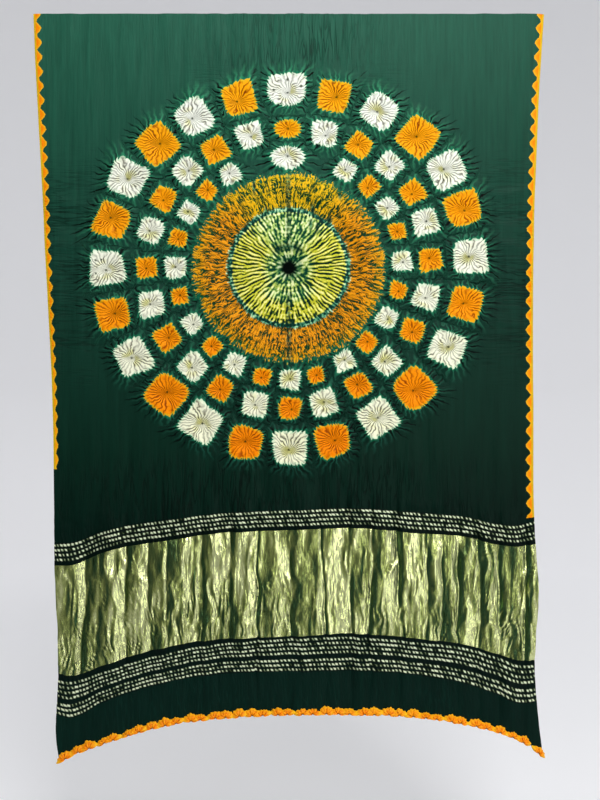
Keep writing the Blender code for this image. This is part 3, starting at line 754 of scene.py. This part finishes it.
def addNode(tree, kind, inputs=(), stops=(), **settings):
    # kind names the node and, after a space, its operation; an operation alone is a Math node's. The inputs
    # fill its sockets in order, or by name from a dictionary: each is a node, a socket, a "#hex" colour, one
    # of the mesh's fields or a plain value.
    kind, _, operation = (f"Math {kind}" if kind.isupper() else kind).partition(" ")
    node = tree.nodes.new("ShaderNode" + kind)
    if operation:
        node.operation = operation
    if kind == "Mix":
        node.data_type = "RGBA"
    for name, value in settings.items():
        setattr(node, name, value)
    if stops:
        ramp = node.color_ramp.elements
        ramp[0].position, ramp[1].position = stops[0][0], stops[-1][0]
        for share, _ in stops[1:-1]:
            ramp.new(share)
        for element, (_, colour) in zip(ramp, stops):
            element.color = linear(colour)
    sockets = [s for s in node.inputs if s.enabled]
    if isinstance(inputs, dict):
        sockets = [next(s for s in sockets if s.name == name) for name in inputs]
        inputs = inputs.values()
    for socket, value in zip(sockets, inputs):
        if isinstance(value, str) and not value.startswith("#"):
            field = addNode(tree, "Attribute", attribute_name=value)
            value = field.outputs["Vector" if socket.type == "VECTOR" else "Fac"]
        if isinstance(value, bpy.types.Node):
            value = next(s for s in value.outputs if s.enabled)
        if isinstance(value, bpy.types.NodeSocket):
            tree.links.new(value, socket)
        else:
            socket.default_value = linear(value) if isinstance(value, str) else value
    return node


def newMaterial(name):  # with what adds its nodes, and the socket that gives each point's place on the piece
    material = bpy.data.materials.new(name)
    material.use_nodes = True
    material.node_tree.nodes.clear()
    add = partial(addNode, material.node_tree)
    return material, add, add("TexCoord").outputs["Object"]


def silkGround(add, place):
    # Dyed dark green; lighter towards the top as painted light, standing in for the lamp above and the silk's
    # sheen under it. Returns the colour and the height of its fine creases.
    split = add("SeparateXYZ", [place])
    up = add("MapRange", [split.outputs["Z"], -1.63, 0.0])
    dyeWithPaintedSheen = add("ValToRGB", [up], stops=[
        (0.0, "#052019"), (0.14, "#051e17"), (0.3, "#031912"), (0.42, "#09281d"), (0.66, "#123a2d"),
        (0.85, "#1a4b3a"), (1.0, "#235946"),
    ])
    # faint upright streaks and mottles: partly random tone, partly painted sheen and shade on the silk's soft
    # upright crinkles
    tall = add("Mapping", {"Vector": place, "Scale": (85, 40, 6)})
    lines = add("TexNoise", {"Vector": tall, "Scale": 1.0, "Detail": 3.0, "Roughness": 0.65})
    shade = add("MapRange", [lines, 0.3, 0.7, 0.84, 1.16])
    # fine creases: upright where the cloth was crushed, across where the ties pull on it
    groove = None
    for share, scale in (("crush", (150, 60, 13)), ("pull", (11, 60, 150))):
        along = add("Mapping", {"Vector": place, "Scale": scale})
        wave = add("TexNoise", {"Vector": along, "Scale": 1.0, "Detail": 1.5, "Distortion": 0.5})
        cut = add("ValToRGB", [wave], stops=[
            (0.43, "#000000"), (0.49, "#ffffff"), (0.51, "#ffffff"), (0.57, "#000000"),
        ])
        cut = add("MULTIPLY", [cut, share])
        groove = cut if groove is None else add("MAXIMUM", [groove, cut])
    # painted shade in the fine creases, which turns to a painted highlight along them near the hem
    creaseLightByHeight = add("MapRange", [split.outputs["Z"], -1.5, -1.3, 0.5, -0.5])
    shade = add("MULTIPLY_ADD", [groove, creaseLightByHeight, shade])
    # painted shade: darker towards the right selvedge, evening out the extra light of the lamp on the right
    paintedShadeRight = add("MapRange", [split.outputs["X"], 0.0, 0.55, 1.0, 0.8])
    shade = add("MULTIPLY", [shade, paintedShadeRight])
    tone = add("VectorMath SCALE", [dyeWithPaintedSheen, shade])
    # satin silk's warp runs down the cloth at about 30 threads a centimetre, drawn here at 1.2 mm
    warp = add("TexWave", {
        "Vector": place, "Scale": 260.0, "Distortion": 1.5, "Detail": 1.0, "Detail Scale": 2.0,
    }, bands_direction="X")
    weave = add("MULTIPLY_ADD", [warp, 0.06, lines])
    weave = add("MULTIPLY_ADD", [groove, -0.6, weave])
    return tone, weave


def gajjiSilk():
    # Satin-woven gajji silk, tied and dyed: a soft sheen over deep colour, puckered where it was tied
    material, add, place = newMaterial("gajjiSilk")
    ground, weave = silkGround(add, place)
    grit = add("TexNoise", {"Vector": place, "Scale": 420.0, "Detail": 1.0})

    # polar directions from each tie, wavering a little: 1 turn for each deep crease, 1.5 for each fine one
    around = add("SeparateXYZ", ["fromTie"])
    flat = add("CombineXYZ", [around.outputs["X"], around.outputs["Y"]])
    tieGap = add("VectorMath LENGTH", [flat])
    stretched = add("MULTIPLY", [around.outputs["Y"], mandala["creaseStretch"]])
    angle = add("ARCTAN2", [stretched, around.outputs["X"]])
    waver = add("TexNoise", {"Vector": place, "Scale": 90.0, "Detail": 1.5})
    patch = add("TexNoise", {"Vector": place, "Scale": 42.0, "Detail": 1.0})
    bend = add("MULTIPLY_ADD", [waver, 1.5, -2.0])
    bend = add("MULTIPLY_ADD", [patch, 2.5, bend])
    perTurn = add("DIVIDE", [tieGap, around.outputs["Z"]])
    calmer = add("DIVIDE", [mandala["creasePitch"], perTurn])
    calmer = add("MINIMUM", [calmer, 1.0])
    calmer = add("MULTIPLY", [calmer, calmer])
    wavering = add("MULTIPLY", [bend, calmer])
    turns = add("MULTIPLY_ADD", [angle, around.outputs["Z"], wavering])
    deepAway = add("PINGPONG", [turns, 0.5])
    fineTurns = add("MULTIPLY", [turns, 1.5])
    fineAway = add("PINGPONG", [fineTurns, 0.5])

    # each crease is 1 along its bottom and 0 on the puffs, as narrow at the tie as at the outline
    width = add("DIVIDE", [2.4, perTurn])
    width = add("MINIMUM", [width, 0.32])
    deep = add("MapRange", [deepAway, 0.0, width, 1.0, 0.0])
    strength = add("MapRange", [patch, 0.38, 0.56, 0.3])
    deep = add("MULTIPLY", [deep, strength])
    inner = add("MapRange", ["squareGap", -24.0, -5.0, 1.0, 0.7])
    fine = add("MapRange", [fineAway, 0.0, 0.24, 1.0, 0.0])
    outwards = add("MapRange", ["squareGap", -14.0, -3.0, 0.0, 0.36])
    fine = add("MULTIPLY", [fine, outwards])
    creaseShade = add("MULTIPLY_ADD", [deep, inner, fine], use_clamp=True)

    # painted light: the higher squares are drawn brighter, as nearer the lamp above, with a clearer white, a
    # yellower orange and brighter threads than the lower ones
    height = add("SeparateXYZ", [place]).outputs["Z"]
    paintedLightAbove = add("MapRange", [height, -0.95, -0.2])

    # a tied square: resist colour inside an outline of fine spikes, with pale threads over and under it, and
    # painted shade along the creases that run out across the cloth
    level = add("DIVIDE", [around.outputs["X"], tieGap])
    level = add("MULTIPLY", [level, level])
    upright = add("MULTIPLY_ADD", [level, -0.45, 1.0])
    edge = add("MULTIPLY_ADD", [fineAway, -9.0, "squareGap"])
    inSquare = add("MapRange", [edge, -2.9, -1.9, 1.0, 0.0])
    near = add("MapRange", ["squareGap", 5.0, 30.0, 1.0, 0.0])
    glow = add("MapRange", [edge, -2.0, 3.6, 0.6, 0.0])
    thread = add("MapRange", [fineAway, 0.2, 0.5, 0.0, 0.6])
    thread = add("MULTIPLY", [thread, near])
    thread = add("MULTIPLY", [thread, upright])
    silky = add("Mix", [paintedLightAbove, "#246450", "#40a070"])
    # painted shadow along the creases between the squares
    creaseShadow = add("MapRange", ["squareGap", 8.0, 42.0, 4.0, 0.0])
    creaseShadow = add("MULTIPLY", [creaseShadow, level])
    creaseShadow = add("MULTIPLY", [deep, creaseShadow])
    for share, tint in ((glow, "#129063"), (thread, silky), (creaseShadow, "#010a07")):
        ground = add("Mix", [share, ground, tint])

    # painted shade: each puff greys towards its creases, and the creases are drawn dark in the white and the
    # orange
    body = add("MapRange", [deepAway, 0.0, 0.3])
    white = add("Mix", [paintedLightAbove, "#f7f8d6", "#fafdf0"])
    shaded = add("MapRange", [body, 0.0, 1.0, 0.34, 0.0])
    stained = add("MapRange", [patch, 0.46, 0.6, 0.0, 0.85])
    inwards = add("MapRange", [tieGap, 7.0, 26.0, 1.0, 0.12])
    stained = add("MULTIPLY", [stained, inwards])
    cut = add("MULTIPLY", [creaseShade, 1.1])
    for share, tint in ((shaded, "#8f9080"), (stained, "#dedc78"), (cut, "#35321a")):
        white = add("Mix", [share, white, tint])
    orange = add("Mix", [paintedLightAbove, "#fb8a04", "#ffac0c"])
    for share, tint in ((shaded, "#c85c00"), (cut, "#7c2800")):
        orange = add("Mix", [share, orange, tint])
    resist = add("Mix", ["orangeSquare", white, orange])
    fringe = add("Mix", ["orangeSquare", "#c6ecc6", "#dcc41e"])
    rim = add("MapRange", [edge, -7.0, -2.2, 0.0, 0.75])
    tie = add("MapRange", [tieGap, 1.0, 3.2, 0.9, 0.0])
    facing = add("VectorMath MULTIPLY", [place, (1.0, 0.0, 1.0)])
    for x, drop, radius in mandala["stitches"]:
        away = add("VectorMath DISTANCE", [facing, (x * mm, 0.0, -drop * mm)])
        dot = add("MapRange", [away, 0.5 * radius * mm, 1.4 * radius * mm, 0.9, 0.0])
        tie = add("MAXIMUM", [tie, dot])
    for share, tint in ((rim, fringe), (tie, "#24380f")):
        resist = add("Mix", [share, resist, tint])
    squared = add("Mix", [inSquare, ground, resist])

    # the medallion: each pleat's crest has the resist colour of its ring, and its trough the green; the
    # palest crest colours are partly painted highlight and the darkest trough colours partly painted shade,
    # and the same holds for the orange ring's strands
    raised = add("MULTIPLY_ADD", ["streak", 0.46, 0.26])
    crest = add("MULTIPLY_ADD", [grit, 0.4, raised])
    ragged = add("MULTIPLY_ADD", [crest, -8.0, "ringRadius"])
    # the orange ring has finer strands, which waver and run together
    centred = add("SeparateXYZ", [add("VectorMath ADD", [place, (0.0, 0.0, mandala["drop"] * mm)])])
    heading = add("ARCTAN2", [centred.outputs["X"], centred.outputs["Z"]])
    winding = add("MULTIPLY", [bend, 2.2])
    winding = add("MULTIPLY_ADD", [heading, medallion["strands"] / fullTurn, winding])
    strand = add("PINGPONG", [winding, 0.5])
    low = add("MULTIPLY_ADD", ["streak", 0.5, -0.17])
    low = add("MULTIPLY_ADD", [grit, 0.5, low])
    wound = add("MULTIPLY_ADD", [strand, 1.5, low])
    raggedRim = add("MULTIPLY_ADD", [wound, -13.0, "ringRadius"])
    rings = [
        # radius at which it starts and how softly, the pleats it follows, its colours from trough to crest
        (9.0, 1.5, crest, [(0.4, "#020c08"), (0.6, "#0c3e2b"), (0.8, "#7fae78"), (1.0, "#e0ecbc")]),
        (24.0, 1.5, crest, [
            (0.14, "#05241a"), (0.32, "#2f5420"), (0.44, "#b9b92c"), (0.64, "#d6d436"), (0.86, "#f8f69a"),
        ]),
        (119.5, 1.5, crest, [(0.3, "#052e27"), (0.5, "#105846"), (0.72, "#6fb98c"), (0.92, "#dbf0bc")]),
        (131.5, 1.5, wound, [
            (0.1, "#06301c"), (0.26, "#3c5214"), (0.4, "#a46a08"), (0.62, "#d68208"), (0.95, "#ea9c14"),
        ]),
        (184.0, 14.0, wound, [
            (0.12, "#0a4026"), (0.3, "#3e6418"), (0.46, "#a6780a"), (0.68, "#d2860a"), (0.94, "#e6ac1a"),
        ]),
    ]
    colour = add("ValToRGB", [crest], stops=[(0.0, "#010504"), (1.0, "#020a06")])  # the dark middle tie
    # each ramp runs from dye with painted shade in the troughs to dye with painted highlight on the crests
    for start, soft, pleats, stops in rings:
        share = add("MapRange", [ragged, start - soft, start + soft])
        colour = add("Mix", [share, colour, add("ValToRGB", [pleats], stops=stops)])
    yellowOnly = add("MapRange", [ragged, 117.0, 121.0, 0.75, 0.0])
    washed = add("MULTIPLY", ["washed", yellowOnly])
    orangeOnly = add("MapRange", [ragged, 129.0, 133.0, 0.0, 0.7])
    tinted = add("MULTIPLY", ["washed", orangeOnly])
    washes = [
        # where it lies, what it follows, then its colours from trough to crest
        (washed, crest, [(0.2, "#0a4630"), (0.4, "#3f8c54"), (0.56, "#a0cc70"), (0.8, "#f0fbcc")]),
        (tinted, wound, [(0.2, "#07361e"), (0.36, "#4b7418"), (0.52, "#aaa60e"), (0.8, "#eec216")]),
        ("overdye", crest, [(0.3, "#04261c"), (0.62, "#0b4a34"), (0.95, "#68ac68")]),
    ]
    for share, pleats, stops in washes:
        colour = add("Mix", [share, colour, add("ValToRGB", [pleats], stops=stops)])
    outer = add("MapRange", [raggedRim, 199.0, 201.5, 1.0, 0.0])
    ringGlow = add("MapRange", [raggedRim, 200.0, 212.0, 0.7, 0.0])
    glowing = add("Mix", [ringGlow, squared, "#107a51"])
    patterned = add("Mix", [outer, glowing, colour])

    # the dyed border along both selvedges
    scallop = add("MULTIPLY_ADD", [grit, 2.5, "scallop"])
    border = add("MapRange", [scallop, 0.6, 1.8])
    borderDye = add("ValToRGB", [add("MapRange", [scallop, 0.0, 9.0])], stops=[
        (0.0, "#b8a81c"), (0.2, "#eeb41c"), (0.45, "#f79a08"), (1.0, "#f28404"),
    ])
    along = add("MapRange", ["selvedge", 3.6, 5.0, 0.85, 0.0])
    borderDye = add("Mix", [along, borderDye, "#c9b01a"])
    whole = add("Mix", [border, patterned, borderDye])

    puffed = add("MULTIPLY", [body, near])
    relief = add("MULTIPLY_ADD", [puffed, 0.9, weave])
    rolled = add("MULTIPLY", [strand, outer])
    relief = add("MULTIPLY_ADD", [rolled, 0.8, relief])
    bump = add("Bump", {"Height": relief, "Distance": 0.0016, "Strength": 0.8})
    shader = add("BsdfPrincipled", {
        "Base Color": whole, "Roughness": 0.42, "IOR": 1.5, "Specular IOR Level": 0.05, "Normal": bump,
    })
    add("OutputMaterial", {"Surface": shader})
    return material


def zariTissue():
    # Flat gilt yarn laid over green silk, so it shines like crumpled foil with green in its folds; its colour
    # is also painted paler where a fold faces the lamps on the right and darker where it turns away
    material, add, place = newMaterial("zariTissue")
    tall = add("Mapping", {"Vector": place, "Scale": (24, 20, 5)})
    patches = add("TexNoise", {"Vector": tall, "Scale": 1.0, "Detail": 3.0})
    # painted light: paler on folds that face right, towards the lamps, and darker olive on those that turn
    # away, on top of the green showing in the crushed folds
    turned = add("MULTIPLY_ADD", ["bandFacing", -0.55, patches])
    yarnAndPaintedFoldLight = add("ValToRGB", [turned], stops=[
        (0.3, "#dfe6a4"), (0.41, "#b2bc76"), (0.52, "#8a9652"), (0.62, "#5c6c3c"), (0.76, "#345030"),
    ])
    # the gilt weft lies across at about 25 yarns a centimetre, drawn here at 1.6 mm
    weft = add("TexWave", {"Vector": place, "Scale": 196.0, "Distortion": 0.6}, bands_direction="Z")
    # soft dents all over, and fine upright crumples that gather towards the foot
    broad = add("Mapping", {"Vector": place, "Scale": (95, 40, 24)})
    dents = add("TexNoise", {"Vector": broad, "Scale": 1.0, "Detail": 2.0, "Distortion": 0.5})
    narrow = add("Mapping", {"Vector": place, "Scale": (210, 60, 32)})
    crumple = add("TexNoise", {"Vector": narrow, "Scale": 1.0, "Detail": 2.0, "Distortion": 0.3})
    ridge = add("SUBTRACT", [crumple, 0.5])
    ridge = add("ABSOLUTE", [ridge])
    gathered = add("MapRange", ["bandDown", 0.3, 1.0, 0.6, 2.2])
    gathered = add("MULTIPLY", [gathered, ridge])
    smoother = add("MapRange", [patches, 0.4, 0.58, 0.15])
    gathered = add("MULTIPLY", [gathered, smoother])
    relief = add("MULTIPLY_ADD", [gathered, -1.0, dents])
    relief = add("MULTIPLY_ADD", [weft, 0.03, relief])
    bump = add("Bump", {"Height": relief, "Distance": 0.0055, "Strength": 0.85})
    tangent = add("Tangent", direction_type="RADIAL", axis="Z")
    shader = add("BsdfPrincipled", {
        "Base Color": yarnAndPaintedFoldLight, "Metallic": 0.9, "Roughness": 0.25, "Anisotropic": 0.4,
        "Anisotropic Rotation": 0.25, "Normal": bump, "Tangent": tangent,
    })
    add("OutputMaterial", {"Surface": shader})
    return material


def zariRows():
    # Rows of zari dashes in green satin: small beads of gilt yarn between crinkles, with painted highlight on
    # the beads and painted shade in the crinkles and over the silk between the lines
    material, add, place = newMaterial("zariRows")
    ground, weave = silkGround(add, place)
    short = add("Mapping", {"Vector": place, "Scale": (90, 10, 60)})
    spots = add("TexNoise", {"Vector": short, "Scale": 1.0, "Detail": 2.0})
    # bead brightness: partly painted light, bright on a crinkle's crest and dark in its trough, partly random
    lit = add("PINGPONG", ["crinkleTurns", 0.5])
    lit = add("MULTIPLY_ADD", [spots, 1.5, lit])
    bead = add("MapRange", [lit, 0.8, 1.28])
    mask = None
    for name, lines in (("upperRow", rows["upperLines"]), ("lowerRow", rows["lowerLines"])):
        for line in lines:
            away = add("SUBTRACT", [name, line])
            away = add("ABSOLUTE", [away])
            on = add("MapRange", [away, 1.4, 2.8, 1.0, 0.0])
            mask = on if mask is None else add("MAXIMUM", [mask, on])
    gilt = add("ValToRGB", [bead], stops=[
        (0.0, "#0c170c"), (0.3, "#3c4a2e"), (0.55, "#97a782"), (0.85, "#e4ecca"),
    ])
    # painted shade: the silk between the gilt lines is drawn at half its brightness, as sunk between them
    paintedShadeBetweenLines = add("VectorMath SCALE", [ground, 0.5])
    colour = add("Mix", [mask, paintedShadeBetweenLines, gilt])
    metal = add("MULTIPLY", [mask, 0.4])
    relief = add("MULTIPLY_ADD", [mask, 0.6, weave])
    bump = add("Bump", {"Height": relief, "Distance": 0.0012, "Strength": 0.7})
    shader = add("BsdfPrincipled", {
        "Base Color": colour, "Metallic": metal, "Roughness": 0.42, "IOR": 1.5, "Specular IOR Level": 0.05,
        "Normal": bump,
    })
    add("OutputMaterial", {"Surface": shader})
    return material


def tiedSilk():
    # The same silk, bunched and tied before dyeing: bright orange, yellow at the rim (partly painted
    # highlight along the upper edge), with dark tied ends
    material, add, place = newMaterial("tiedSilk")
    grit = add("TexNoise", {"Vector": place, "Scale": 300.0, "Detail": 2.0})
    # partly painted shade in each pleat's trough and painted highlight on its crest, partly random grain
    fold = add("MULTIPLY_ADD", ["pleat", 0.3, grit])
    orange = add("ValToRGB", [fold], stops=[
        (0.1, "#b44802"), (0.36, "#f07a04"), (0.66, "#ff9a0a"), (0.92, "#ffb01e"),
    ])
    rimmed = add("Mix", ["rim", orange, "#ffc01e"])
    colour = add("Mix", ["tip", rimmed, "#3a1404"])
    bump = add("Bump", {"Height": fold, "Distance": 0.001, "Strength": 0.5})
    shader = add("BsdfPrincipled", {
        "Base Color": colour, "Roughness": 0.42, "IOR": 1.5, "Specular IOR Level": 0.1, "Normal": bump,
    })
    add("OutputMaterial", {"Surface": shader})
    return material


studio = {
    "floor": -1.95,
    "radius": 4.8,
    "corner": 1.1,
    "height": 5.4,
    "wallGlow": 0.34,
    "floorGlow": 0.5,
    "glowBlend": 1.2,
}


def makeStudio():
    # a round cove: floor, quarter-round corner and wall in one pale surface
    profile = [(r, studio["floor"]) for r in np.linspace(0.01, studio["radius"] - studio["corner"], 6)]
    for step in range(1, 13):
        angle = math.pi / 2 * step / 12
        profile.append((
            studio["radius"] - studio["corner"] * (1 - math.sin(angle)),
            studio["floor"] + studio["corner"] * (1 - math.cos(angle)),
        ))
    profile.append((studio["radius"], studio["floor"] + studio["height"]))
    count = 96
    points = [(r * math.sin(fullTurn * i / count), r * math.cos(fullTurn * i / count), z)
              for r, z in profile for i in range(count)]
    faces = [tuple(range(count - 1, -1, -1))]  # the middle of the floor
    for j in range(len(profile) - 1):
        for i in range(count):
            a, b = j * count + i, j * count + (i + 1) % count
            faces.append((a, b, b + count, a + count))
    cove = meshFrom("studioCove", points, faces, {})
    material, add, place = newMaterial("matWall")
    split = add("SeparateXYZ", [place])
    far = add("MapRange", [split.outputs["Y"], -2.5, 2.5])
    paint = add("ValToRGB", [far], stops=[(0.0, "#55565a"), (0.6, "#d8d8da")])
    # painted light: the cove glows by emission, more on the floor than the wall, so it reads evenly lit
    # without lamps on it
    floor, blend = studio["floor"], studio["glowBlend"]
    glows = studio["floorGlow"], studio["wallGlow"]
    glow = add("MapRange", [split.outputs["Z"], floor, floor + blend, *glows])
    shader = add("BsdfPrincipled", {
        "Base Color": paint, "Roughness": 0.9, "Emission Color": paint, "Emission Strength": glow,
    })
    add("OutputMaterial", {"Surface": shader})
    cove.data.materials.append(material)


def aimAt(thing, place, target):
    thing.location = place
    thing.rotation_euler = (Vector(target) - Vector(place)).to_track_quat("-Z", "Y").to_euler()


def makeLights():
    lamps = [
        # name, place, target, width, height, watts
        ("keyLight", (0.75, -2.4, 1.35), (0.0, 0.0, -0.6), 1.4, 1.0, 80.0),
        ("sideLight", (1.55, -2.5, -0.9), (0.0, 0.0, -1.2), 0.7, 2.2, 28.0),
        ("fillLight", (-1.2, -2.9, 0.6), (0.0, 0.0, -0.9), 1.6, 1.6, 10.0),
    ]
    for name, place, target, width, height, watts in lamps:
        lamp = bpy.data.lights.new(name, "AREA")
        lamp.shape, lamp.size, lamp.size_y, lamp.energy = "RECTANGLE", width, height, watts
        piece = bpy.data.objects.new(name, lamp)
        piece.visible_camera = False
        bpy.context.scene.collection.objects.link(piece)
        aimAt(piece, place, target)
    world = bpy.data.worlds.new("studioWorld")
    world.use_nodes = True
    sky = world.node_tree.nodes["Background"]
    sky.inputs["Color"].default_value = linear("#e4e8ee")
    sky.inputs["Strength"].default_value = 0.35
    bpy.context.scene.world = world
    bpy.context.scene.view_settings.view_transform = "Standard"


def makeCamera():
    camera = bpy.data.objects.new("photoCamera", bpy.data.cameras.new("photoCamera"))
    camera.data.lens, camera.data.sensor_width = 35, 36
    bpy.context.scene.collection.objects.link(camera)
    aimAt(camera, (0.0245, -1.703, -0.846), (0.0245, 0.0, -0.846))
    bpy.context.scene.camera = camera


cloth = makeCloth()
hem = makePuffs()
for piece in (cloth, hem):
    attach(piece, "root")
    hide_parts("cloth")
makeStudio()
makeLights()
makeCamera()
